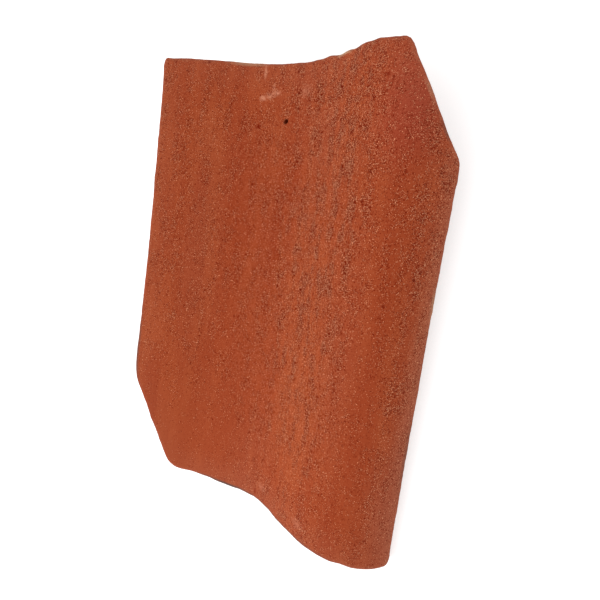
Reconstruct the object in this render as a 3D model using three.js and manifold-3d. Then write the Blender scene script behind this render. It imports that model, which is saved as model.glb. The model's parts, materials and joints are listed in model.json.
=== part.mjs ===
import * as THREE from 'three';
import { mergeVertices } from 'three/addons/utils/BufferGeometryUtils.js';
import Module from 'manifold-3d';

// A single-lap clay pantile: one S-shaped slab with a shallow pan on the left, a roll on the right,
// two clipped corners, a nail hole and a hanging nib. Millimetres, modelled face up:
// x runs across the tile from the pan to the roll, y from the tail to the head, z out of the face.

// Overall size
const tileLength = 343;
const tileWidth = 241;
const tileThickness = 13;

// Section of the upper face. Heights are above the pan's lowest line.
const lipHeight = 16.7;            // long edge beside the pan
const lipSlope = THREE.MathUtils.degToRad(11.5);
const panInset = 96.5;             // lowest line, in from the pan-side edge
const rollHeight = 40.2;
const rollInset = 37.3;            // crest, in from the free edge
const freeEdgeHeight = 24.4;
const freeEdgeSlope = THREE.MathUtils.degToRad(42);

// How far each stretch of the section holds its direction, as the lengths of the curves' handles
const lipReach = 57;
const panReachToLip = 45;
const panReachToRoll = 53.5;
const crestReachToPan = 43;
const crestReachToEdge = 17;
const freeEdgeReach = 10;

// Clipped corners, measured along the end and along the side. Each clip is rounded into both.
const headClipWidth = 42;
const headClipLength = 70;
const headClipEndRounding = 9.5;
const headClipSideRounding = 15;
const tailClipWidth = 42;
const tailClipLength = 79.5;
const tailClipEndRounding = 18;
const tailClipSideRounding = 54;
const tailCornerRounding = 6;      // the square corner at the roll's free edge

// Rounded arrises all round the slab
const arrisRadius = 3;
const arrisSteps = 3;
const stationPitch = 2.5;          // spacing of the loft's sections across the tile

// Nail hole through the pan
const nailHoleDiameter = 3.6;
const nailHoleFlare = 0.4;         // extra diameter where the punch entered the upper face
const nailHoleFromHead = 43;
const nailHoleFromPanEdge = 106.4;
const nailHoleSides = 20;

// Hanging nib under the head
const nibWidth = 44;
const nibLength = 22;              // along the tile
const nibDrop = 16;                // below the underside
const nibHeadSetback = 6;
const nibFromPanEdge = 88;         // its middle
const nibDraft = THREE.MathUtils.degToRad(6);
const nibCornerRadius = 5;
const nibRootFillet = 4;
const nibTipRounding = 2.5;
const nibSteps = 4;                // sections in each of its rounded bands

const settlingPasses = 6;

const clayColour = 0xa54b2d;

const wasm = await Module();
wasm.setup();

// ---- section -------------------------------------------------------------

function sectionCurve() {
  const lip = new THREE.Vector2(0, lipHeight);
  const pan = new THREE.Vector2(panInset, 0);
  const crest = new THREE.Vector2(tileWidth - rollInset, rollHeight);
  const freeEdge = new THREE.Vector2(tileWidth, freeEdgeHeight);
  const lipDirection = new THREE.Vector2(Math.cos(lipSlope), -Math.sin(lipSlope));
  const edgeDirection = new THREE.Vector2(Math.cos(freeEdgeSlope), -Math.sin(freeEdgeSlope));
  const level = new THREE.Vector2(1, 0);
  const handle = (point, direction, reach) => point.clone().addScaledVector(direction, reach);

  const curve = new THREE.CurvePath();
  curve.add(new THREE.CubicBezierCurve(
    lip, handle(lip, lipDirection, lipReach), handle(pan, level, -panReachToLip), pan));
  curve.add(new THREE.CubicBezierCurve(
    pan, handle(pan, level, panReachToRoll), handle(crest, level, -crestReachToPan), crest));
  curve.add(new THREE.CubicBezierCurve(
    crest, handle(crest, level, crestReachToEdge), handle(freeEdge, edgeDirection, -freeEdgeReach), freeEdge));
  return curve;
}

// ---- plan ----------------------------------------------------------------

// How far a clipped corner cuts an end back, at a distance in from the long edge.
function clipCutBack(inset, width, length, endRounding, sideRounding) {
  const lean = Math.atan2(length, width);
  const endCentre = width + endRounding * Math.tan(lean / 2);
  const endArcStart = endCentre - endRounding * Math.sin(lean);
  const sideCentre = length + sideRounding * Math.tan((Math.PI / 2 - lean) / 2);
  const sideArcEnd = sideRounding * (1 - Math.sin(lean));
  if (inset >= endCentre) return 0;
  if (inset > endArcStart) return arcFall(endRounding, endCentre - inset);
  if (inset > sideArcEnd) return (width - inset) * Math.tan(lean);
  return sideCentre - sideRounding + arcFall(sideRounding, sideRounding - inset);
}

// How far an arc has fallen away from its tangent at a distance along that tangent.
function arcFall(radius, along) {
  return radius - Math.sqrt(Math.max(radius ** 2 - along ** 2, 0));
}

function tailAt(x) {
  const cornerInset = Math.min(tileWidth - x, tailCornerRounding);
  return clipCutBack(x, tailClipWidth, tailClipLength, tailClipEndRounding, tailClipSideRounding)
    + arcFall(tailCornerRounding, tailCornerRounding - cornerInset);
}

function headAt(x) {
  return tileLength - clipCutBack(
    tileWidth - x, headClipWidth, headClipLength, headClipEndRounding, headClipSideRounding);
}

// ---- slab ----------------------------------------------------------------

// One closed ring round the slab at a point of the section: a rounded rectangle in the plane of the
// tile's length and the face's normal. The corners' radius falls to nothing at the long edges, which
// rounds their arrises too.
function slabRing(point, normal, tail, head, cornerRadius) {
  const ring = [];
  const corners = [
    { y: head - arrisRadius, depth: arrisRadius, start: 0 },
    { y: tail + arrisRadius, depth: arrisRadius, start: 90 },
    { y: tail + arrisRadius, depth: tileThickness - arrisRadius, start: 180 },
    { y: head - arrisRadius, depth: tileThickness - arrisRadius, start: 270 },
  ];
  for (const corner of corners) {
    for (let step = 0; step <= arrisSteps; step += 1) {
      const angle = THREE.MathUtils.degToRad(corner.start + (90 * step) / arrisSteps);
      const y = corner.y + cornerRadius * Math.cos(angle);
      const depth = corner.depth - cornerRadius * Math.sin(angle);
      ring.push(new THREE.Vector3(point.x - normal.x * depth, y, point.y - normal.y * depth));
    }
  }
  return ring;
}

function slabGeometry() {
  const curve = sectionCurve();
  const girth = curve.getLength();
  const stations = [];
  for (let step = 0; step < arrisSteps; step += 1) {
    const angle = (Math.PI / 2) * (step / arrisSteps);
    stations.push({ s: arrisRadius * (1 - Math.cos(angle)), radius: arrisRadius * Math.sin(angle) });
  }
  const inner = girth - 2 * arrisRadius;
  const count = Math.round(inner / stationPitch);
  for (let i = 0; i <= count; i += 1) {
    stations.push({ s: arrisRadius + (inner * i) / count, radius: arrisRadius });
  }
  for (let step = arrisSteps - 1; step >= 0; step -= 1) {
    const angle = (Math.PI / 2) * (step / arrisSteps);
    stations.push({ s: girth - arrisRadius * (1 - Math.cos(angle)), radius: arrisRadius * Math.sin(angle) });
  }

  const positions = [];
  for (const station of stations) {
    const t = station.s / girth;
    const point = curve.getPoint(t);
    const tangent = curve.getTangent(t);
    const normal = new THREE.Vector2(-tangent.y, tangent.x);
    for (const vertex of slabRing(point, normal, tailAt(point.x), headAt(point.x), station.radius)) {
      positions.push(vertex.x, vertex.y, vertex.z);
    }
  }
  return loftGeometry(positions, stations.length);
}

// Skins equal rings one after another and closes both ends.
function loftGeometry(positions, ringCount) {
  const ringSize = positions.length / 3 / ringCount;
  const indices = [];
  for (let ring = 0; ring < ringCount - 1; ring += 1) {
    for (let i = 0; i < ringSize; i += 1) {
      const a = ring * ringSize + i;
      const b = ring * ringSize + ((i + 1) % ringSize);
      indices.push(a, b, b + ringSize);
      indices.push(a, b + ringSize, a + ringSize);
    }
  }
  const lastRing = (ringCount - 1) * ringSize;
  for (let i = 1; i < ringSize - 1; i += 1) {
    indices.push(0, i + 1, i);
    indices.push(lastRing, lastRing + i, lastRing + i + 1);
  }
  const geometry = new THREE.BufferGeometry();
  geometry.setAttribute('position', new THREE.Float32BufferAttribute(positions, 3));
  geometry.setIndex(indices);
  return geometry;
}

// ---- nail hole and nib ---------------------------------------------------

function heightAt(x) {
  const points = sectionCurve().getPoints(60);
  const next = points.findIndex((point) => point.x >= x);
  const before = points[next - 1];
  const after = points[next];
  return THREE.MathUtils.mapLinear(x, before.x, after.x, before.y, after.y);
}

// A punch that follows the hole: nail-sized below the face and flared where it entered.
function nailPunch() {
  const overrun = 5;
  const length = tileThickness + 2 * overrun;
  const flarePerLength = nailHoleFlare / tileThickness;
  const topRadius = nailHoleDiameter / 2 + (nailHoleFlare + flarePerLength * overrun) / 2;
  const bottomRadius = nailHoleDiameter / 2 - (flarePerLength * overrun) / 2;
  const punch = new THREE.CylinderGeometry(topRadius, bottomRadius, length, nailHoleSides);
  punch.rotateX(Math.PI / 2);
  const middle = heightAt(nailHoleFromPanEdge) - tileThickness / 2;
  punch.translate(nailHoleFromPanEdge, tileLength - nailHoleFromHead, middle);
  return punch;
}

// A drafted block that hangs from the underside, square to the tile. Its sections go up from a rounded
// tip by a straight body to a flared root. The root ends where the underside is highest, and the last
// section is inside the slab.
function nibGeometry() {
  const underside = (x) => heightAt(x) - tileThickness;
  const rootHeight = underside(nibFromPanEdge - nibWidth / 2 - nibRootFillet);
  const tipHeight = underside(nibFromPanEdge) - nibDrop;
  const bodyTop = rootHeight - nibRootFillet;
  const bodyBottom = tipHeight + nibTipRounding;
  const drawIn = (height) => (bodyTop - height) * Math.tan(nibDraft);

  const sections = [];
  for (let step = nibSteps; step >= 0; step -= 1) {
    const angle = (Math.PI / 2) * (step / nibSteps);
    sections.push({
      height: bodyBottom - nibTipRounding * Math.sin(angle),
      grow: -drawIn(bodyBottom) - nibTipRounding * (1 - Math.cos(angle)),
    });
  }
  for (let step = nibSteps; step >= 0; step -= 1) {
    const angle = (Math.PI / 2) * (step / nibSteps);
    sections.push({
      height: bodyTop + nibRootFillet * Math.cos(angle),
      grow: nibRootFillet * (1 - Math.sin(angle)),
    });
  }
  sections.push({ height: rootHeight + tileThickness / 4, grow: nibRootFillet });

  const positions = [];
  for (const section of sections) {
    const outline = roundedRectangle(
      nibWidth + 2 * section.grow, nibLength + 2 * section.grow, nibCornerRadius + section.grow);
    for (const point of outline) {
      positions.push(point.x, point.y, section.height);
    }
  }
  const nib = loftGeometry(positions, sections.length);
  nib.translate(nibFromPanEdge, tileLength - nibHeadSetback - nibLength / 2, 0);
  return nib;
}

function roundedRectangle(width, length, radius) {
  const path = new THREE.Path();
  const x = width / 2 - radius;
  const y = length / 2 - radius;
  path.absarc(x, y, radius, 0, Math.PI / 2, false);
  path.absarc(-x, y, radius, Math.PI / 2, Math.PI, false);
  path.absarc(-x, -y, radius, Math.PI, 1.5 * Math.PI, false);
  path.absarc(x, -y, radius, 1.5 * Math.PI, 2 * Math.PI, false);
  return path.getPoints(2);
}

// ---- joining -------------------------------------------------------------

function toSolid(geometry) {
  const bare = geometry.clone();
  bare.deleteAttribute('normal');
  bare.deleteAttribute('uv');
  const merged = mergeVertices(bare, 1e-4);
  return new wasm.Manifold(new wasm.Mesh({
    numProp: 3,
    vertProperties: new Float32Array(merged.getAttribute('position').array),
    triVerts: new Uint32Array(merged.getIndex().array),
  }));
}

function toGeometry(solid) {
  const mesh = solid.getMesh();
  const geometry = new THREE.BufferGeometry();
  geometry.setAttribute('position', new THREE.BufferAttribute(mesh.vertProperties, 3));
  geometry.setIndex(new THREE.BufferAttribute(mesh.triVerts, 1));
  return geometry;
}

// ---- rest ----------------------------------------------------------------

// Face up on a level floor the tile stands on three points: the pan and the roll's free edge at the
// tail, and the nib's tip at the head. It is rolled about its length until the first two are level and
// tipped about the tail until the nib is down too.
function layOnFloor(geometry) {
  const crest = tileWidth / 2 - rollInset;
  geometry.translate(-tileWidth / 2, -tileLength / 2, 0);
  for (let pass = 0; pass < settlingPasses; pass += 1) {
    const pan = lowestPoint(geometry, (point) => point.y < 0 && point.x < crest);
    const freeEdge = lowestPoint(geometry, (point) => point.y < 0 && point.x > crest);
    geometry.rotateY(Math.atan2(freeEdge.z - pan.z, freeEdge.x - pan.x));
    const tail = lowestPoint(geometry, (point) => point.y < 0);
    const nib = lowestPoint(geometry, (point) => point.y > 0);
    geometry.rotateX(Math.atan2(tail.z - nib.z, nib.y - tail.y));
  }
  geometry.computeBoundingBox();
  const { min, max } = geometry.boundingBox;
  geometry.translate(-(min.x + max.x) / 2, -(min.y + max.y) / 2, -min.z);
}

function lowestPoint(geometry, belongs) {
  const position = geometry.getAttribute('position');
  const lowest = new THREE.Vector3(0, 0, Infinity);
  const point = new THREE.Vector3();
  for (let i = 0; i < position.count; i += 1) {
    point.fromBufferAttribute(position, i);
    if (belongs(point) && point.z < lowest.z) lowest.copy(point);
  }
  return lowest;
}

// ---- tile ----------------------------------------------------------------

const slab = toSolid(slabGeometry());
const pierced = slab.subtract(toSolid(nailPunch()));
const tileGeometry = toGeometry(pierced.add(toSolid(nibGeometry())));
layOnFloor(tileGeometry);
tileGeometry.computeVertexNormals();

const clay = new THREE.MeshStandardMaterial({ color: clayColour, roughness: 0.9, metalness: 0 });
const tile = new THREE.Mesh(tileGeometry, clay);
tile.name = 'pantile';

const group = new THREE.Group();
group.add(tile);

export default group;
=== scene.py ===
import json
import math

import bmesh
import bpy
import numpy as np
from mathutils import Euler, Matrix, Vector, kdtree, noise


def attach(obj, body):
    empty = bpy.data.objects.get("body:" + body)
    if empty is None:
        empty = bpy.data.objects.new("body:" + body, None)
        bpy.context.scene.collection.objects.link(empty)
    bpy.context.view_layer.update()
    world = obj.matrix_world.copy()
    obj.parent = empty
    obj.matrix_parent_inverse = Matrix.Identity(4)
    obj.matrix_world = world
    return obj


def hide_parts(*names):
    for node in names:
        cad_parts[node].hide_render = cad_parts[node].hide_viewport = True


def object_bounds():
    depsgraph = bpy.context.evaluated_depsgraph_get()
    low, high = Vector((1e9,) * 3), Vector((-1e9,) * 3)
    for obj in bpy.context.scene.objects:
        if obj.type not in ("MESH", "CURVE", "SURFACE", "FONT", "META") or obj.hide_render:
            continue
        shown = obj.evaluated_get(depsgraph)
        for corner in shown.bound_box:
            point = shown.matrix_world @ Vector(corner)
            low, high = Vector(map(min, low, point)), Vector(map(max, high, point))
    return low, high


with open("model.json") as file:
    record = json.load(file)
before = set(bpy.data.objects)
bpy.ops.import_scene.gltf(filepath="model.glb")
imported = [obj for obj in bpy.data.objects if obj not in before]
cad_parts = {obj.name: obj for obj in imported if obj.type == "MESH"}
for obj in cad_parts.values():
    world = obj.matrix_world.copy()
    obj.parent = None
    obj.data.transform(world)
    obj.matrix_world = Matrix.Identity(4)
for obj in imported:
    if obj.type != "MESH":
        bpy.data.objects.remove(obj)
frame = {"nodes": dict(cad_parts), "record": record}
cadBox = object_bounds()
print("tile: frame loaded")

# Metres, in the tile's own axes: x across from the pan to the roll, y from the tail to the head,
# z out of the face. On the face a place is (girth, length): girth follows the S from the pan's edge,
# length starts at the tail.
shape = {
    "length": 0.343,
    "width": 0.241,
    "thickness": 0.013,
    "crestHeight": 0.0402,
    "nibFromMiddle": -0.0325,
    "arris": 0.003,
    "rows": 250,
    "edgeLayers": 3,
    "panWaist": 0.0014,          # how far each long side is drawn in at mid-length
    "rollWaist": 0.0007,
    "seed": 11,
    "sharpAngle": 50,            # degrees, a sharper edge is shaded as a corner
}
# how the frame's mesh is read and cut
cuts = {
    "weld": 1e-6,
    "longEdge": 0.2,             # only the columns are longer
    "columnBend": 0.02,          # radians, the columns on the curves bend more
    "coarseEdge": 0.02,          # a face with a longer edge gets rows
    "flatBend": 0.004,           # radians, a smaller bend is a diagonal of one face
    "wideColumn": 0.0015,        # a wider one is halved on the face
    "sameRow": 2e-5,
    "shortestRun": 1e-4,
    "midBand": 0.0008,           # the section is read this near to mid-length
    "clearOfArris": 1.1,         # and this many arrises in from the sides
    "steps": 12,                 # each vertex's foot on the section settles in these
    "upward": 0.2,               # z of the normals that count as the upper face's
    "level": 0.5,                # and of those that lie about level
    "underside": -0.8,           # out of the face, of those that count as the back's
    "acrossShare": 0.2,          # of an edge's length, if it runs across the tile
    "risingShare": 0.6,          # and if it runs through the tile
    "risingLength": 0.85,        # of the depth between the arrises
}

tileSource = frame["nodes"]["pantile"]


def runOf(edge):
    return edge.verts[1].co - edge.verts[0].co


def runsAlong(edge):
    run = runOf(edge)
    return math.hypot(run.x, run.z) < cuts["sameRow"] and abs(run.y) > cuts["shortestRun"]


def longestEdge(face):
    return max(e.calc_length() for e in face.edges)


def tileMatrix(bm):
    # the column edges give the length, the nib's bearing face gives which way is out
    along = Vector()
    for edge in bm.edges:
        if edge.calc_length() > cuts["longEdge"] and edge.calc_face_angle(0) > cuts["columnBend"]:
            run = runOf(edge)
            along += run if run.y > 0 else -run
    along.normalize()
    bearing = frame["record"]["mounts"][0]
    facing = Vector(bearing["axis"])
    outward = (facing.dot(along) * along - facing).normalized()
    turn = Matrix((along.cross(outward), along, outward))
    flat = [turn @ v.co for v in bm.verts]
    shift = Vector((
        shape["nibFromMiddle"] - (turn @ Vector(bearing["pos_m"])).x,
        -(min(p.y for p in flat) + max(p.y for p in flat)) / 2,
        shape["crestHeight"] - max(p.z for p in flat),
    ))
    return (Matrix.Translation(shift) @ turn.to_4x4()).inverted()


def cutIntoRows(bm):
    # the slab's long faces lose their diagonals first, so that rows of quads can cross them
    diagonals = [
        e for e in bm.edges
        if e.calc_length() > cuts["coarseEdge"] and not runsAlong(e)
        and e.calc_face_angle(1) < cuts["flatBend"]
    ]
    bmesh.ops.dissolve_limit(bm, angle_limit=cuts["flatBend"], verts=[], edges=diagonals)
    longFaces = {f for f in bm.faces if len(f.verts) == 4 and longestEdge(f) > cuts["longEdge"]}
    columns = [
        e for e in bm.edges
        if runsAlong(e) and e.calc_length() > cuts["longEdge"] and longFaces.intersection(e.link_faces)
    ]
    pierced = [
        f for f in bm.faces
        if f not in longFaces and longestEdge(f) > cuts["coarseEdge"] and abs(f.normal.z) > cuts["level"]
    ]
    bmesh.ops.subdivide_edges(bm, edges=columns, cuts=shape["rows"] - 1)
    # columns beside the nail hole and the nib are cut straight across at the same rows
    patch = list(dict.fromkeys(part for f in pierced for part in (f, *f.edges, *f.verts)))
    half = shape["length"] / 2 - shape["arris"]
    for row in range(1, shape["rows"]):
        y = half * (2 * row / shape["rows"] - 1)
        cut = bmesh.ops.bisect_plane(
            bm, geom=patch, dist=cuts["sameRow"], plane_co=(0, y, 0), plane_no=(0, 1, 0))
        patch = cut["geom"]


def splitColumns(bm):
    # twice as many columns on the upper face as on the back
    across = []
    for edge in bm.edges:
        run = runOf(edge)
        isAcross = abs(run.x) > abs(run.z) and abs(run.x) > cuts["acrossShare"] * run.length
        isUpper = any(f.normal.z > cuts["upward"] for f in edge.link_faces)
        if isAcross and isUpper and run.length > cuts["wideColumn"]:
            across.append(edge)
    bmesh.ops.subdivide_edges(bm, edges=across, cuts=1)
    # the edge faces get layers between their two arrises
    wall = shape["thickness"] - 2 * shape["arris"]
    rising = []
    for edge in bm.edges:
        run = runOf(edge)
        if run.length > cuts["risingLength"] * wall and abs(run.z) > cuts["risingShare"] * run.length:
            rising.append(edge)
    bmesh.ops.subdivide_edges(bm, edges=rising, cuts=shape["edgeLayers"])


tileMesh = bmesh.new()
tileMesh.from_mesh(tileSource.data)
bmesh.ops.remove_doubles(tileMesh, verts=tileMesh.verts, dist=cuts["weld"])
tileToRoom = tileMatrix(tileMesh)
bmesh.ops.transform(tileMesh, matrix=tileToRoom.inverted(), verts=tileMesh.verts)
cutIntoRows(tileMesh)
splitColumns(tileMesh)
bmesh.ops.triangulate(tileMesh, faces=[f for f in tileMesh.faces if len(f.verts) > 4])
tileMesh.normal_update()
tileMesh.verts.ensure_lookup_table()
print("tile: cut into", len(tileMesh.faces), "faces")


def readSection(bm):
    # the upper face's line across the tile, carried on straight over the two rounded arrises
    line = {
        round(v.co.x, 5): v.co.z for v in bm.verts
        if abs(v.co.y) < cuts["midBand"] and v.normal.z > cuts["level"]
    }
    half = shape["width"] / 2
    xs = np.array(sorted(x for x in line if abs(x) < half - cuts["clearOfArris"] * shape["arris"]))
    zs = np.array([line[x] for x in xs])
    first = zs[0] - (xs[0] + half) * (zs[1] - zs[0]) / (xs[1] - xs[0])
    last = zs[-1] + (half - xs[-1]) * (zs[-1] - zs[-2]) / (xs[-1] - xs[-2])
    xs = np.concatenate(([-half], xs, [half]))
    zs = np.concatenate(([first], zs, [last]))
    girth = np.concatenate(([0], np.cumsum(np.hypot(np.diff(xs), np.diff(zs)))))
    slope = np.arctan(np.gradient(zs, xs))
    return xs, zs, girth, slope


def layOut(co, section):
    # every vertex's girth and its depth below the face, and the section's direction there
    xs, zs, girth, slope = section
    foot = np.clip(co[:, 0], xs[0], xs[-1])
    for _ in range(cuts["steps"]):
        lean = np.interp(foot, xs, slope)
        offX, offZ = co[:, 0] - foot, co[:, 2] - np.interp(foot, xs, zs)
        foot = np.clip(foot + (offX * np.cos(lean) + offZ * np.sin(lean)) * np.cos(lean), xs[0], xs[-1])
    lean = np.interp(foot, xs, slope)
    offX, offZ = co[:, 0] - foot, co[:, 2] - np.interp(foot, xs, zs)
    depth = offX * np.sin(lean) - offZ * np.cos(lean)
    return np.interp(foot, xs, girth), depth, lean


section = readSection(tileMesh)
place = np.array([v.co for v in tileMesh.verts])
normals = np.array([v.normal for v in tileMesh.verts])
girth, depth, lean = layOut(place, section)
length = place[:, 1] + shape["length"] / 2
tangent = np.stack([np.cos(lean), np.zeros_like(lean), np.sin(lean)], 1)
outOfFace = np.stack([-np.sin(lean), np.zeros_like(lean), np.cos(lean)], 1)
outward = (normals * outOfFace).sum(1)
onBack = depth > shape["thickness"] / 2
nibFrom = shape["thickness"] + 0.0005        # what lies deeper is the nib
print("tile: girth", round(float(section[2][-1]), 4))

# The tile's outline on the face: places half-way down its edges, each with the way that it faces.
hole = {"girth": 0.1082, "length": 0.3000, "reach": 0.005}
edgeMiddle = (0.004, 0.009)      # depths clear of both arrises
edgeOutward = 0.4                # an edge's normals lean out of the face less than this
nearHole = np.hypot(girth - hole["girth"], length - hole["length"]) < hole["reach"]
onEdge = (depth > edgeMiddle[0]) & (depth < edgeMiddle[1]) & ~nearHole
onEdge &= np.abs(outward) < edgeOutward
outlineIndex = np.flatnonzero(onEdge)
outline = kdtree.KDTree(len(outlineIndex))
for i in outlineIndex:
    outline.insert((girth[i], length[i], 0), int(i))
outline.balance()
rim = np.zeros(len(place))                   # how far each vertex is from the outline
nearest = np.zeros(len(place), int)
for i in range(len(place)):
    _, nearest[i], rim[i] = outline.find((girth[i], length[i], 0))
facing = np.stack([(normals * tangent).sum(1), normals[:, 1]], 1)[nearest]
facing /= np.linalg.norm(facing, axis=1)[:, None]
print("tile: outline of", len(outlineIndex), "places")

edges = {
    # mm on the face: girth, length, reach, amount outwards
    "bumps": [
        # along the tail
        (50, 4, 4, -0.3), (63, 3, 13, -1.2), (70, 3, 12, 0.3), (80, 2, 4, -0.5), (85, 2, 4, 0.4),
        (97, 2, 13, 0.5), (100, 3, 20, 0.35), (110, 3, 4, -0.5), (120, 3, 4, 0.6), (123, 2, 13, -1),
        (134, 3, 7, -0.2), (154, 2, 5, 0.35), (155, 2, 4, 0.5), (160, 3, 13, 0.5), (176, 3, 7, -0.4),
        (201, 2, 7, -0.3), (205, 3, 25, 0.3), (212, 2, 4, 0.5), (218, 3, 5, -0.5), (222, 2, 4, -0.7),
        (234, 3, 7, 0.3),
        # its clipped corner
        (12, 61, 13, -0.3), (16, 54, 4, -0.5), (20, 43, 4, 0.5), (26, 33, 7, -0.3), (40, 9, 6, 0.3),
        # up the pan's side
        (6, 73, 6, 0.3), (1, 99, 13, 0.35), (2, 120, 4, 0.4), (2, 132, 4, -0.3), (2, 152, 13, -0.3),
        (2, 177, 13, -0.6), (2, 199, 7, -0.4), (2, 225, 13, -0.6), (2, 246, 7, 0.3), (1, 278, 4, 0.4),
        (1, 328, 7, 0.4), (1, 336, 5, 1),
        # along the head
        (0.5, 342.5, 3.2, -0.6), (5, 340, 4, -0.9), (10, 342, 8, -1), (50, 341, 7, -0.35),
        (57, 342, 13, 0.7), (90, 342, 13, -0.5), (119, 341, 7, -0.4), (141, 342, 4, 0.8),
        (150, 341, 4, -0.5), (153, 341, 4, -0.8), (154, 341, 4, -0.25), (167, 341, 4, -0.4),
        (168, 341, 4, -0.9), (178, 342, 4, 0.5), (189, 342, 4, 0.8), (200, 341, 7, -0.4),
        (205, 341, 4, -0.6),
        # its clipped corner
        (215, 330, 6, -0.35), (217, 331, 4, -0.4), (229, 312, 7, 0.4), (234, 302, 4, -0.4),
        (243, 288, 7, -0.4),
        # up the roll's side
        (250, 4, 4, -2.5), (255, 9, 4, 0.4), (255, 79, 13, -0.2), (255, 84, 7, 0.4), (254, 88, 13, -0.4),
        (255, 136, 4, -0.4), (255, 160, 13, -0.3), (254, 193, 13, -0.3), (255, 218, 13, -0.3),
        (255, 232, 4, 0.3), (254, 250, 4, -0.3), (255, 262, 4, 0.5), (249, 280, 13, -0.3),
    ],
    "reach": 0.012,
    # size along the edge, height, seed
    "waver": (0.018, 0.00035, 18.0),
    "ragged": (0.0055, 0.00022, 5.5),
    "crumbs": (0.0018, 0.00012, 5.5),
    "crumbReach": 0.003,
}


def smoothStep(low, high, value):
    t = np.clip((value - low) / (high - low), 0, 1)
    return t * t * (3 - 2 * t)


def noiseAt(points, seed):
    shift = Vector((seed, seed, seed))
    return np.array([noise.noise(Vector(p) + shift) for p in points])


def unevenEdges():
    fade = 1 - smoothStep(0, edges["reach"], rim)
    crumbFade = 1 - smoothStep(0, edges["crumbReach"], rim)
    near = np.flatnonzero(fade > 0)
    spot = nearest[near]
    at = np.stack([girth[spot], length[spot], np.zeros(len(spot))], 1)
    push = np.zeros(len(near))
    for across, along, reach, amount in edges["bumps"]:
        away = np.hypot(at[:, 0] * 1000 - across, at[:, 1] * 1000 - along)
        push += amount / 1000 * np.exp(-(away / reach) ** 2)
    for size, height, seed in (edges["waver"], edges["ragged"]):
        push += height * noiseAt(at / size, seed)
    push *= fade[near]
    size, height, seed = edges["crumbs"]
    own = np.stack([girth[near], length[near], depth[near]], 1)
    push += height * noiseAt(own / size, seed) * crumbFade[near]
    way = tangent[near] * facing[near, :1]
    way[:, 1] += facing[near, 1]
    place[near] += way * push[:, None]


relief = {
    # size across, size along, seed
    "broad": (0.045, 0.13, 2.3),
    "wave": (0.011, 0.075, 7.1),
    "drag": (0.0034, 0.040, 12.7),
    "dragPatch": (0.03, 0.05, 31.9),
    "heights": {"broad": 0.00028, "wave": 0.00010, "drag": 0.00016},
    "backApart": 5.0,            # sets the back's pattern apart from the face's
    "backScale": 0.7,
    "wallFade": (0.2, 0.6),      # by how far a normal points out of the face
    # from where to where the noise becomes a groove or a patch of them
    "grooves": (0.15, 0.5),
    "patches": (-0.1, 0.35),
    "pits": 420,
    "pitSize": (0.0009, 0.0019),
    "pitDepth": (0.00012, 0.00040),
    "pitSkin": 0.002,            # only vertices this near to the face are pitted
    "pitRim": 0.001,             # and not this near to the outline
    "pitGrooves": (0.1, 0.5),
    "pitsElsewhere": 0.15,
    "pitsOnPan": 0.35,           # how many of them the pan's side gets
    "panSide": (0.02, 0.10),
}


def reliefNoise(flat, kind):
    across, along, seed = relief[kind]
    return noiseAt(flat / (across, along, 1), seed)


def faceRelief():
    heights = relief["heights"]
    flat = np.stack([girth, length, np.where(onBack, relief["backApart"], 0.0)], 1)
    lift = heights["broad"] * reliefNoise(flat, "broad")
    lift += heights["wave"] * reliefNoise(flat, "wave")
    groove = reliefNoise(flat, "drag")
    patch = smoothStep(*relief["patches"], reliefNoise(flat, "dragPatch"))
    lift -= heights["drag"] * smoothStep(*relief["grooves"], groove) * patch
    return lift, groove * patch


def pitFace(lift, groove):
    # small cavities, most of them strung along the grooves
    rng = np.random.default_rng(shape["seed"])
    upper = np.flatnonzero((depth < relief["pitSkin"]) & (rim > relief["pitRim"]))
    tree = kdtree.KDTree(len(upper))
    for i in upper:
        tree.insert((girth[i], length[i], 0), int(i))
    tree.balance()
    chance = relief["pitsElsewhere"] + smoothStep(*relief["pitGrooves"], groove[upper])
    onPan = relief["pitsOnPan"]
    chance *= onPan + (1 - onPan) * smoothStep(*relief["panSide"], girth[upper])
    chosen = rng.choice(upper, relief["pits"], replace=False, p=chance / chance.sum())
    for i in chosen:
        size = rng.uniform(*relief["pitSize"])
        deep = rng.uniform(*relief["pitDepth"])
        for _, j, away in tree.find_range((girth[i], length[i], 0), size):
            lift[j] -= deep * (1 - (away / size) ** 2)
    return lift


lift = pitFace(*faceRelief())
lift = np.where(onBack, -lift * relief["backScale"], lift)
lift *= np.where(depth > nibFrom, 0, 1)
lift *= smoothStep(*relief["wallFade"], np.abs(outward))
place += outOfFace * lift[:, None]
unevenEdges()

# the long sides are drawn in at mid-length
share = np.clip(0.5 - place[:, 0] / shape["width"], 0, 1)
middle = 1 - (2 * place[:, 1] / shape["length"]) ** 2
place[:, 0] += middle * (share * shape["panWaist"] - (1 - share) * shape["rollWaist"])

for vertex, co in zip(tileMesh.verts, place):
    vertex.co = tileToRoom @ Vector(co)
    vertex.co = Vector(min(max(c, low), high) for c, low, high in zip(vertex.co, *cadBox))

lie = tileMesh.loops.layers.uv.new("lie")
for face in tileMesh.faces:
    face.smooth = True
    isNib = max(depth[v.index] for v in face.verts) > nibFrom
    isUnder = min(outward[v.index] for v in face.verts) < cuts["underside"]
    face.material_index = 1 if isNib or isUnder else 0
    for loop in face.loops:
        i = loop.vert.index
        loop[lie].uv = (girth[i] / shape["length"], length[i] / shape["length"])
tileData = bpy.data.meshes.new("clayTile")
tileMesh.to_mesh(tileData)
tileMesh.free()
tileData.set_sharp_from_angle(angle=math.radians(shape["sharpAngle"]))
tile = bpy.data.objects.new("clayTile", tileData)
bpy.context.scene.collection.objects.link(tile)
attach(tile, "root")
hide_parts("pantile")
print("tile: shaped")


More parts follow.
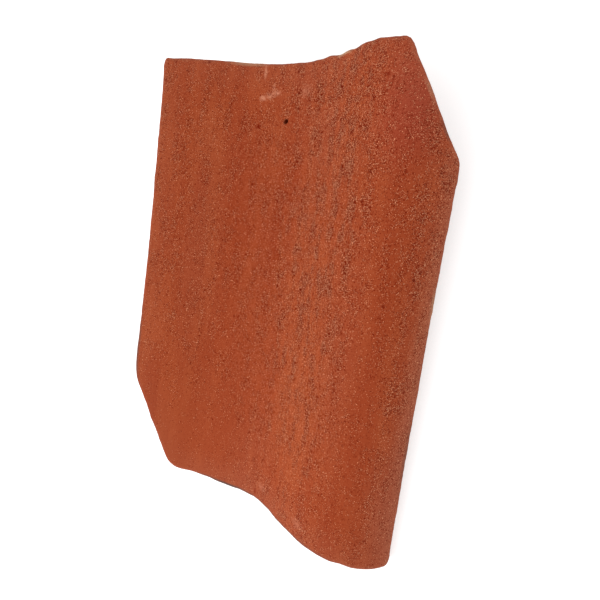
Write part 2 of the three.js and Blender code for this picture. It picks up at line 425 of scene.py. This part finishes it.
def addNode(tree, kind, inputs=None, **settings):
    made = tree.nodes.new(kind)
    for name, value in settings.items():
        setattr(made, name, value)
    for name, value in (inputs or {}).items():
        if isinstance(value, bpy.types.NodeSocket):
            tree.links.new(value, made.inputs[name])
        else:
            made.inputs[name].default_value = value
    return made


def newMaterial(name):
    made = bpy.data.materials.new(name)
    made.use_nodes = True
    made.node_tree.nodes.clear()
    return made, made.node_tree


def newGroup(name, takes, gives):
    made = bpy.data.node_groups.new(name, "ShaderNodeTree")
    for label, kind, value in takes:
        socket = made.interface.new_socket(name=label, in_out="INPUT", socket_type=kind)
        if value is not None:
            socket.default_value = value
    for label in gives:
        made.interface.new_socket(name=label, in_out="OUTPUT", socket_type="NodeSocketFloat")
    return made, made.nodes.new("NodeGroupInput").outputs, made.nodes.new("NodeGroupOutput").inputs


def give(tree, socket, value):
    tree.links.new(value, socket)


def compute(tree, operation, first, second=0.0, clamp=False):
    return addNode(
        tree, "ShaderNodeMath", {0: first, 1: second}, operation=operation, use_clamp=clamp).outputs[0]


def times(tree, first, second, clamp=False):
    return compute(tree, "MULTIPLY", first, second, clamp)


def remap(tree, value, fromLow, fromHigh, toLow=0.0, toHigh=1.0):
    return addNode(tree, "ShaderNodeMapRange", {
        "Value": value, "From Min": fromLow, "From Max": fromHigh, "To Min": toLow, "To Max": toHigh,
    }, interpolation_type="SMOOTHSTEP").outputs["Result"]


def blend(tree, amount, base, over):
    # sockets 6 and 7 are the two colours
    return addNode(tree, "ShaderNodeMix", {0: amount, 6: base, 7: over}, data_type="RGBA").outputs[2]


def vectorMath(tree, operation, first, second):
    other = "Scale" if operation == "SCALE" else 1
    return addNode(
        tree, "ShaderNodeVectorMath", {0: first, other: second}, operation=operation).outputs[0]


def noiseTone(tree, coords, scale, detail):
    return addNode(
        tree, "ShaderNodeTexNoise", {"Vector": coords, "Scale": scale, "Detail": detail}).outputs["Fac"]


def attribute(tree, name):
    return addNode(tree, "ShaderNodeAttribute", attribute_name=name).outputs["Fac"]


# Sand pressed into the clay: cells of mixed tone, some pale, partly the sand's own colour and partly
# painted highlight, and some sunk and dark with painted shade.
# Distances are in cells: where the grain's body and its core end and where they are full.
cell = {
    "body": (0.90, 0.60),
    "core": (0.52, 0.36),
    "full": 0.35,                # the part of the chosen cells that shows at full strength
}
sandGrain, given, result = newGroup(
    "sandGrain",
    [("Vector", "NodeSocketVector", None), ("Size", "NodeSocketFloat", 0.001),
     ("Pale", "NodeSocketFloat", 0.2), ("Sunk", "NodeSocketFloat", 0.2),
     ("Socket", "NodeSocketFloat", 0.5)],
    ["Grain", "PitShade", "Height"])
spread = compute(sandGrain, "DIVIDE", 1.0, given["Size"])
cells = addNode(sandGrain, "ShaderNodeTexVoronoi", {
    "Vector": vectorMath(sandGrain, "SCALE", given["Vector"], spread), "Scale": 1.0, "Randomness": 1.0,
})
tone = addNode(sandGrain, "ShaderNodeSeparateColor", {"Color": cells.outputs["Color"]})
body = remap(sandGrain, cells.outputs["Distance"], *cell["body"])
core = remap(sandGrain, cells.outputs["Distance"], *cell["core"])
paleFrom = compute(sandGrain, "SUBTRACT", 1.0, given["Pale"])
paleTo = compute(sandGrain, "SUBTRACT", 1.0, times(sandGrain, given["Pale"], cell["full"]))
pale = remap(sandGrain, tone.outputs["Red"], paleFrom, paleTo)
sunkTo = times(sandGrain, given["Sunk"], cell["full"])
sunk = remap(sandGrain, tone.outputs["Green"], given["Sunk"], sunkTo)
# the pale cores are partly painted highlight; the sunk cells and the sockets round the pale ones are
# painted shade
grainAndHighlight = times(sandGrain, pale, core)
socket = times(sandGrain, compute(sandGrain, "SUBTRACT", body, core), given["Socket"])
pitShade = compute(sandGrain, "MAXIMUM", times(sandGrain, sunk, body), times(sandGrain, pale, socket))
give(sandGrain, result["Grain"], grainAndHighlight)
give(sandGrain, result["PitShade"], pitShade)
give(sandGrain, result["Height"], compute(sandGrain, "SUBTRACT", grainAndHighlight, pitShade))

# marks of the mould, longer one way than the other
dragMarks, given, result = newGroup(
    "dragMarks",
    [("Vector", "NodeSocketVector", None), ("Across", "NodeSocketFloat", 0.001),
     ("Along", "NodeSocketFloat", 0.01), ("Seed", "NodeSocketFloat", 0.0)],
    ["Mark"])
parts = addNode(dragMarks, "ShaderNodeSeparateXYZ", {0: given["Vector"]})
placed = addNode(dragMarks, "ShaderNodeCombineXYZ", {
    0: compute(dragMarks, "DIVIDE", parts.outputs[0], given["Across"]),
    1: compute(dragMarks, "DIVIDE", parts.outputs[1], given["Along"]),
    2: given["Seed"],
})
give(dragMarks, result["Mark"], noiseTone(dragMarks, placed.outputs[0], 1.0, 2.0))

# one soft patch with an uneven edge, at a place on the face
patchSpread = 900.0              # sets the patches' unevenness apart from one another
patchScale = 1.9
softPatch, given, result = newGroup(
    "softPatch",
    [("Vector", "NodeSocketVector", None), ("Centre", "NodeSocketVector", (0, 0, 0)),
     ("Reach", "NodeSocketVector", (1, 1, 1)), ("Rough", "NodeSocketFloat", 0.3)],
    ["Mask"])
offset = vectorMath(softPatch, "SUBTRACT", given["Vector"], given["Centre"])
offset = vectorMath(softPatch, "DIVIDE", offset, given["Reach"])
away = addNode(softPatch, "ShaderNodeVectorMath", {0: offset}, operation="LENGTH").outputs["Value"]
own = vectorMath(softPatch, "ADD", offset, vectorMath(softPatch, "SCALE", given["Centre"], patchSpread))
uneven = compute(softPatch, "SUBTRACT", noiseTone(softPatch, own, patchScale, 3.0), 0.5)
reached = compute(softPatch, "ADD", away, times(softPatch, uneven, given["Rough"]))
give(softPatch, result["Mask"], remap(softPatch, reached, 1.0, 0.0))

clay = {
    "body": (0.392, 0.0714, 0.0246, 1),
    "deep": (0.335, 0.0485, 0.0146, 1),
    "light": (0.465, 0.0995, 0.0335, 1),
    "rose": (0.370, 0.0620, 0.0420, 1),
    "dust": (0.430, 0.1450, 0.0850, 1),
    # painted shade: a dark rim for edge faces that lie in shade
    "paintedRimShade": (0.085, 0.0600, 0.0500, 1),
    "chalk": (0.800, 0.5800, 0.3600, 1),
    # partly rubbed wear, partly painted light on the roll's rim, whose arris faces away from the key lamp
    "wornAndLit": (0.540, 0.1500, 0.0760, 1),
    # painted shade in pits, sockets, threads and creases
    "pitShade": (0.215, 0.0120, 0.0003, 1),
    # the pale sand grains' own colour with painted highlight
    "grainAndHighlight": (0.950, 0.3900, 0.2050, 1),
    "scuff": (0.680, 0.2600, 0.1500, 1),
    "roughness": 0.92,
    "specular": 0.06,
    "bump": 0.00010,
    "markDepth": -2.0,           # of the mould's marks, in grains
    "broadScale": 14.0,
    "clumpScale": 130.0,
    "gritSeen": 0.3,             # how far the grains' strength follows their number
    "backHalo": 0.6,
}
# size is in metres, pale and sunk are shares of the cells, socket is the painted shade round a pale one,
# and seen says how strongly the pale grains, partly painted highlight, and the painted shade show
sands = {
    "fine": {"size": 0.00038, "pale": 0.21, "sunk": 0.31, "socket": 0.10, "seen": (1.27, 1.72)},
    "grit": {"size": 0.00066, "pale": 0.06, "sunk": 0.045, "socket": 0.10, "seen": (1.62, 1.45)},
    "pock": {"size": 0.00150, "pale": 0.00, "sunk": 0.005, "socket": 0.00, "seen": (0.00, 0.75)},
}
# marks of the mould: size across, size along, seed
drags = {
    "band": (0.012, 0.12, 9.0),
    "string": (0.0070, 0.028, 4.0),
    "thread": (0.0011, 0.009, 0.0),
    "crease": (0.0050, 0.0013, 6.0),
}
# from where to where a value runs, and between which amounts
ramps = {
    "broadDeep": (0.38, 0.62, 0.0, 0.25),
    "bandLight": (0.42, 0.64, 0.0, 0.40),
    "stringGrit": (0.38, 0.64, 0.50, 1.35),
    "backGrit": (0.38, 0.64, 0.30, 0.75),
    "clumpGrit": (0.34, 0.66, 0.60, 1.40),
    "rubClump": (0.35, 0.60, 0.05, 0.22),
    "thread": (0.52, 0.30),
    "crease": (0.50, 0.30),
    # by girth, in metres
    "threadAcross": (0.19, 0.14, 0.0, 0.10),
    # towards the roll the rim gets painted light as well as wear
    "creaseAcross": (0.15, 0.20, 0.05, 0.16),
    "wornAndLitAcross": (0.19, 0.22, 0.05, 0.35),
    # by how far it is from the outline, in metres
    "rub": (0.0045, 0.0010),
    "wornAndLit": (0.0040, 0.0),
    "edge": (0.0038, 0.0022),
    "halo": (0.030, 0.0, 0.0, 0.11),
}
# mm on the face: girth, length, reach across, reach along, amount, unevenness
tones = {
    "calm": [(20, 15, 120, 130, 0.80, 0.3), (218, 150, 34, 90, 0.35, 0.4)],
    "deep": [
        (80, 215, 26, 120, 0.55, 0.5), (77, 190, 7, 170, 0.35, 0.3), (113, 215, 9, 150, 0.65, 0.3),
        (212, 80, 20, 95, 0.4, 0.5), (224, 296, 26, 50, 0.8, 0.5), (222, 200, 20, 120, 0.6, 0.4),
        (210, 312, 20, 34, 0.5, 0.4), (95, 90, 34, 150, 0.25, 0.4), (205, 25, 24, 34, 0.35, 0.4),
        (18, 40, 26, 44, 0.35, 0.4), (205, 337, 26, 18, 0.45, 0.4), (18, 300, 20, 40, 0.2, 0.4),
        (222, 22, 16, 24, 0.3, 0.4),
    ],
    "light": [
        (46, 290, 20, 42, 0.5, 0.6), (14, 135, 24, 60, 0.6, 0.5), (150, 92, 17, 80, 0.7, 0.5),
        (172, 85, 16, 95, 0.7, 0.4), (92, 200, 6, 150, 0.3, 0.3), (160, 160, 46, 240, 0.65, 0.3),
        (252, 160, 14, 110, 0.5, 0.3),
    ],
    "rose": [(222, 305, 50, 60, 0.35, 0.4)],
    "dust": [
        (258, 150, 18, 260, 0.8, 0.4), (150, 0, 150, 34, 0.16, 0.4), (122, 326, 40, 22, 0.10, 0.6),
        (245, 45, 18, 80, 0.28, 0.5), (150, 292, 36, 44, 0.13, 0.4), (46, 210, 22, 150, 0.09, 0.4),
        (198, 130, 26, 100, 0.08, 0.4), (118, 34, 34, 50, 0.11, 0.4),
    ],
    "scuff": [
        (86, 316.5, 4.5, 3.4, 0.9, 1.3), (92, 318.5, 5, 3.6, 0.9, 1.3), (97.5, 320.5, 4.5, 3.2, 0.9, 1.3),
        (94.5, 324, 1.8, 5, 0.7, 1.0), (85.8, 335.4, 2.2, 8, 0.8, 1.0), (123, 321, 6, 6, 0.5, 1.4),
        (134.9, 14.4, 8, 5, 0.35, 1.2), (184.1, 12.9, 9, 5, 0.4, 1.2),
    ],
    # painted shade in single pits and cracks
    "pitShade": [
        (85.3, 295.3, 3.4, 2.8, 1.0, 2.0), (127.6, 7.1, 2.2, 5, 0.8, 0.8),
        (162.8, 176, 0.9, 46, 0.45, 0.2), (119, 199, 1.8, 1.8, 0.8, 0.8),
        (128.6, 194, 1.6, 1.8, 0.8, 0.8), (163, 177, 1.6, 1.6, 0.9, 0.8),
        (83.6, 173, 1.6, 1.6, 0.7, 0.8), (107, 185, 1.6, 1.4, 0.7, 0.8),
        (200.8, 320, 2.4, 2.2, 0.9, 0.8),
    ],
    # on the rim alone
    # painted shade along the tail and other edges, for their shaded end faces
    "paintedRimShade": [
        (97, 0, 40, 12, 1.0, 0.3), (165, 0, 95, 12, 0.5, 0.3), (0, 100, 9, 60, 0.6, 0.3),
        (257, 80, 10, 36, 0.5, 0.3), (242, 288, 9, 14, 0.5, 0.3),
    ],
    "chalk": [
        (70, 343, 22, 9, 0.35, 0.4), (158, 343, 12, 9, 0.6, 0.4), (228, 312, 8, 12, 0.16, 0.3),
        (257, 185, 7, 16, 0.4, 0.3),
    ],
}
# the painted rim shade and the chalk stay on the rim's upper corner: the depths where they fade out, and
# their waver
corner = {"fade": (0.0025, 0.0065), "waverSize": 0.006, "waver": 0.0025, "seed": 3.3}
# metres: from girth to girth, or from length to length, and how much grit that adds or takes
grits = {
    "least": 0.66,
    "flank": (0.075, 0.165, 0.99),
    "roll": (0.180, 0.215, 1.18, 0.70),
    "rollEdge": (0.222, 0.244, 0.60),
    "tail": (0.0, 0.20, 0.50),
}


def patchShare(patches):
    # how far each vertex is covered by soft patches with uneven edges
    clear = np.ones(len(girth))
    for across, along, reachAcross, reachAlong, amount, rough in patches:
        offset = np.stack([
            (girth * 1000 - across) / reachAcross,
            (length * 1000 - along) / reachAlong,
            np.zeros(len(girth)),
        ], 1)
        away = np.hypot(offset[:, 0], offset[:, 1])
        near = np.flatnonzero(away < 1 + rough)
        away[near] += 0.5 * rough * noiseAt(offset[near] * patchScale, across + along)
        clear *= 1 - amount * (1 - smoothStep(0, 1, away))
    return 1 - clear


def grittiness():
    # the roll's side is sandier than the pan, and the tail is smoother
    low, high, more = grits["flank"]
    grit = grits["least"] + more * smoothStep(low, high, girth)
    low, high, most, less = grits["roll"]
    grit *= most - less * smoothStep(low, high, girth)
    low, high, more = grits["rollEdge"]
    grit += more * smoothStep(low, high, girth)
    low, high, least = grits["tail"]
    grit *= least + (1 - least) * smoothStep(low, high, length)
    return grit * (1 - patchShare(tones["calm"]))


def upperCorner():
    waver = corner["waver"] * noiseAt(place / corner["waverSize"], corner["seed"])
    return 1 - smoothStep(*corner["fade"], depth + waver)


shares = {kind: patchShare(tones[kind]) for kind in ("deep", "light", "rose", "dust", "paintedRimShade", "chalk")}
onCorner = upperCorner()
for kind in ("paintedRimShade", "chalk"):
    shares[kind] *= onCorner
shares["grit"] = grittiness()
shares["rim"] = rim
for kind, share in shares.items():
    tileData.attributes.new(kind, "FLOAT", "POINT").data.foreach_set("value", share.astype(np.float32))


def patchAt(tree, onTile, patch):
    across, along, reachAcross, reachAlong, amount, rough = patch
    made = addNode(tree, "ShaderNodeGroup", node_tree=softPatch)
    give(tree, made.inputs["Vector"], onTile)
    made.inputs["Centre"].default_value = (across / 1000, along / 1000, 0)
    made.inputs["Reach"].default_value = (reachAcross / 1000, reachAlong / 1000, 1)
    made.inputs["Rough"].default_value = rough
    return times(tree, made.outputs["Mask"], amount)


def dragAt(tree, onTile, kind):
    across, along, seed = drags[kind]
    return addNode(tree, "ShaderNodeGroup", {
        "Vector": onTile, "Across": across, "Along": along, "Seed": seed,
    }, node_tree=dragMarks).outputs["Mark"]


def sandAt(tree, coords, sand, grit):
    # more cells show where the face is grittier
    return addNode(tree, "ShaderNodeGroup", {
        "Vector": coords, "Size": sand["size"], "Socket": sand["socket"],
        "Pale": times(tree, grit, sand["pale"]), "Sunk": times(tree, grit, sand["sunk"]),
    }, node_tree=sandGrain).outputs


def baseColour(tree, coords, onTile, isFace):
    broad = noiseTone(tree, coords, clay["broadScale"], 3.0)
    colour = blend(tree, remap(tree, broad, *ramps["broadDeep"]), clay["body"], clay["deep"])
    band = dragAt(tree, onTile, "band")
    colour = blend(tree, remap(tree, band, *ramps["bandLight"]), colour, clay["light"])
    if isFace:
        for tint in ("deep", "light", "rose", "dust"):
            colour = blend(tree, attribute(tree, tint), colour, clay[tint])
        for patch in tones["scuff"]:
            colour = blend(tree, patchAt(tree, onTile, patch), colour, clay["scuff"])
    return colour


def addMouldMarks(tree, onTile, across, colour):
    thread, crease = (
        times(tree, remap(tree, dragAt(tree, onTile, kind), *ramps[kind]),
              remap(tree, across, *ramps[kind + "Across"]))
        for kind in ("thread", "crease"))
    # the threads and creases get painted shade, as in a groove
    colour = blend(tree, thread, colour, clay["pitShade"])
    colour = blend(tree, crease, colour, clay["pitShade"])
    return colour, times(tree, compute(tree, "ADD", thread, crease), clay["markDepth"])


def addSand(tree, coords, grit, colour, height):
    seen = times(tree, grit, clay["gritSeen"])
    seen = compute(tree, "ADD", seen, 1 - clay["gritSeen"])
    for values in sands.values():
        sand = sandAt(tree, coords, values, grit)
        paleSeen, darkSeen = values["seen"]
        # the sunk cells and sockets get painted shade, the pale grains partly painted highlight
        dark = times(tree, times(tree, sand["PitShade"], seen), darkSeen, clamp=True)
        pale = times(tree, times(tree, sand["Grain"], seen), paleSeen, clamp=True)
        colour = blend(tree, dark, colour, clay["pitShade"])
        colour = blend(tree, pale, colour, clay["grainAndHighlight"])
        lift = times(tree, sand["Height"], seen)
        height = compute(tree, "ADD", height, times(tree, lift, values["size"] / sands["fine"]["size"]))
    return colour, height


def paintRimWearLightAndShade(tree, across, clump, colour, isFace):
    # the rim is rubbed paler, most of all beside the roll, where it is partly painted light for an arris
    # that faces away from the key lamp
    fromRim = attribute(tree, "rim")
    rub = times(tree, remap(tree, fromRim, *ramps["rub"]), remap(tree, clump, *ramps["rubClump"]))
    colour = blend(tree, rub, colour, clay["dust"])
    wornAndLit = times(tree, remap(tree, fromRim, *ramps["wornAndLit"]), remap(tree, across, *ramps["wornAndLitAcross"]))
    colour = blend(tree, wornAndLit, colour, clay["wornAndLit"])
    if isFace:
        # painted shade on parts of the rim, and chalk
        edge = remap(tree, fromRim, *ramps["edge"])
        for tint in ("paintedRimShade", "chalk"):
            colour = blend(tree, times(tree, edge, attribute(tree, tint)), colour, clay[tint])
    halo = remap(tree, fromRim, *ramps["halo"])
    return blend(tree, times(tree, halo, 1.0 if isFace else clay["backHalo"]), colour, clay["dust"])


def paintClay(name, isFace):
    made, tree = newMaterial(name)
    coords = addNode(tree, "ShaderNodeTexCoord").outputs["Object"]
    onTile = addNode(tree, "ShaderNodeMapping", {
        "Vector": addNode(tree, "ShaderNodeUVMap", uv_map="lie").outputs[0],
        "Scale": (shape["length"], shape["length"], 1.0),
    }).outputs[0]
    across = addNode(tree, "ShaderNodeSeparateXYZ", {0: onTile}).outputs[0]
    clump = noiseTone(tree, coords, clay["clumpScale"], 2.0)
    string = dragAt(tree, onTile, "string")
    if isFace:
        grit = times(tree, attribute(tree, "grit"), remap(tree, string, *ramps["stringGrit"]))
    else:
        grit = remap(tree, string, *ramps["backGrit"])
    grit = times(tree, grit, remap(tree, clump, *ramps["clumpGrit"]))

    colour = baseColour(tree, coords, onTile, isFace)
    colour, height = addMouldMarks(tree, onTile, across, colour)
    colour, height = addSand(tree, coords, grit, colour, height)
    if isFace:
        # painted shade in single pits and cracks
        for patch in tones["pitShade"]:
            colour = blend(tree, patchAt(tree, onTile, patch), colour, clay["pitShade"])
    colour = paintRimWearLightAndShade(tree, across, clump, colour, isFace)

    bump = addNode(tree, "ShaderNodeBump", {"Strength": 1.0, "Distance": clay["bump"], "Height": height})
    shader = addNode(tree, "ShaderNodeBsdfPrincipled", {
        "Base Color": colour, "Roughness": clay["roughness"], "Normal": bump.outputs[0],
        "Specular IOR Level": clay["specular"],
    })
    addNode(tree, "ShaderNodeOutputMaterial", {"Surface": shader.outputs["BSDF"]})
    return made


tileData.materials.append(paintClay("clayFace", True))
tileData.materials.append(paintClay("clayBack", False))
print("tile: painted")

# Floor, light and camera
studio = {
    "floorSize": 6.0,
    "floorColour": (0.8, 0.8, 0.8, 1),
    "floorWhite": 0.55,          # what the eye and gloss see on top of the floor's own grey
    "sky": 0.824,
    "keyPlace": (-0.72, -0.72, 0.80),
    "keySize": 0.9,
    "keyPower": 6.8,
    "cameraPlace": (0.145535, 0.041363, 0.321857),      # in the tile's own axes
    "cameraTurn": (-4.0284, 22.4297, 8.8536),
    "lens": 27.2560,
    "sensor": 36,
    "nearClip": 0.01,
}


def seenStraight(tree):
    # 1 for what the camera or a gloss sees, 0 for what lights the tile
    path = addNode(tree, "ShaderNodeLightPath").outputs
    return compute(tree, "MAXIMUM", path["Is Camera Ray"], path["Is Glossy Ray"])


floorMesh = bmesh.new()
bmesh.ops.create_grid(floorMesh, x_segments=1, y_segments=1, size=studio["floorSize"] / 2)
floorData = bpy.data.meshes.new("floor")
floorMesh.to_mesh(floorData)
floorMesh.free()
floor = bpy.data.objects.new("floor", floorData)
bpy.context.scene.collection.objects.link(floor)

floorPaint, tree = newMaterial("floorPaint")
matt = addNode(tree, "ShaderNodeBsdfDiffuse", {"Color": studio["floorColour"]}).outputs[0]
glow = addNode(tree, "ShaderNodeEmission", {"Strength": studio["floorWhite"]}).outputs[0]
both = addNode(tree, "ShaderNodeAddShader", {0: matt, 1: glow}).outputs[0]
mixed = addNode(tree, "ShaderNodeMixShader", {0: seenStraight(tree), 1: matt, 2: both}).outputs[0]
# from below the floor is clear, so that the tile's back can be looked at
clear = addNode(tree, "ShaderNodeBsdfTransparent").outputs[0]
under = addNode(tree, "ShaderNodeNewGeometry").outputs["Backfacing"]
sided = addNode(tree, "ShaderNodeMixShader", {0: under, 1: mixed, 2: clear}).outputs[0]
addNode(tree, "ShaderNodeOutputMaterial", {"Surface": sided})
floorData.materials.append(floorPaint)

world = bpy.data.worlds.new("studio")
bpy.context.scene.world = world
world.use_nodes = True
tree = world.node_tree
tree.nodes.clear()
# the sky lights the tile less than it shows
level = addNode(tree, "ShaderNodeMapRange", {
    0: seenStraight(tree), "To Min": studio["sky"], "To Max": 1.0,
}).outputs[0]
sky = addNode(tree, "ShaderNodeBackground", {"Color": (1, 1, 1, 1), "Strength": level}).outputs[0]
addNode(tree, "ShaderNodeOutputWorld", {"Surface": sky})

keyData = bpy.data.lights.new("key", "AREA")
keyData.shape = "DISK"
keyData.size = studio["keySize"]
keyData.energy = studio["keyPower"]
key = bpy.data.objects.new("key", keyData)
key.location = studio["keyPlace"]
key.rotation_euler = (-key.location).to_track_quat("-Z", "Y").to_euler()
bpy.context.scene.collection.objects.link(key)

cameraData = bpy.data.cameras.new("camera")
cameraData.lens = studio["lens"]
cameraData.sensor_width = studio["sensor"]
cameraData.clip_start = studio["nearClip"]
camera = bpy.data.objects.new("camera", cameraData)
turn = Euler([math.radians(a) for a in studio["cameraTurn"]], "XYZ")
camera.matrix_world = tileToRoom @ Matrix.LocRotScale(Vector(studio["cameraPlace"]), turn, None)
bpy.context.scene.collection.objects.link(camera)
bpy.context.scene.camera = camera
bpy.context.scene.view_settings.view_transform = "Standard"
print("studio: set")
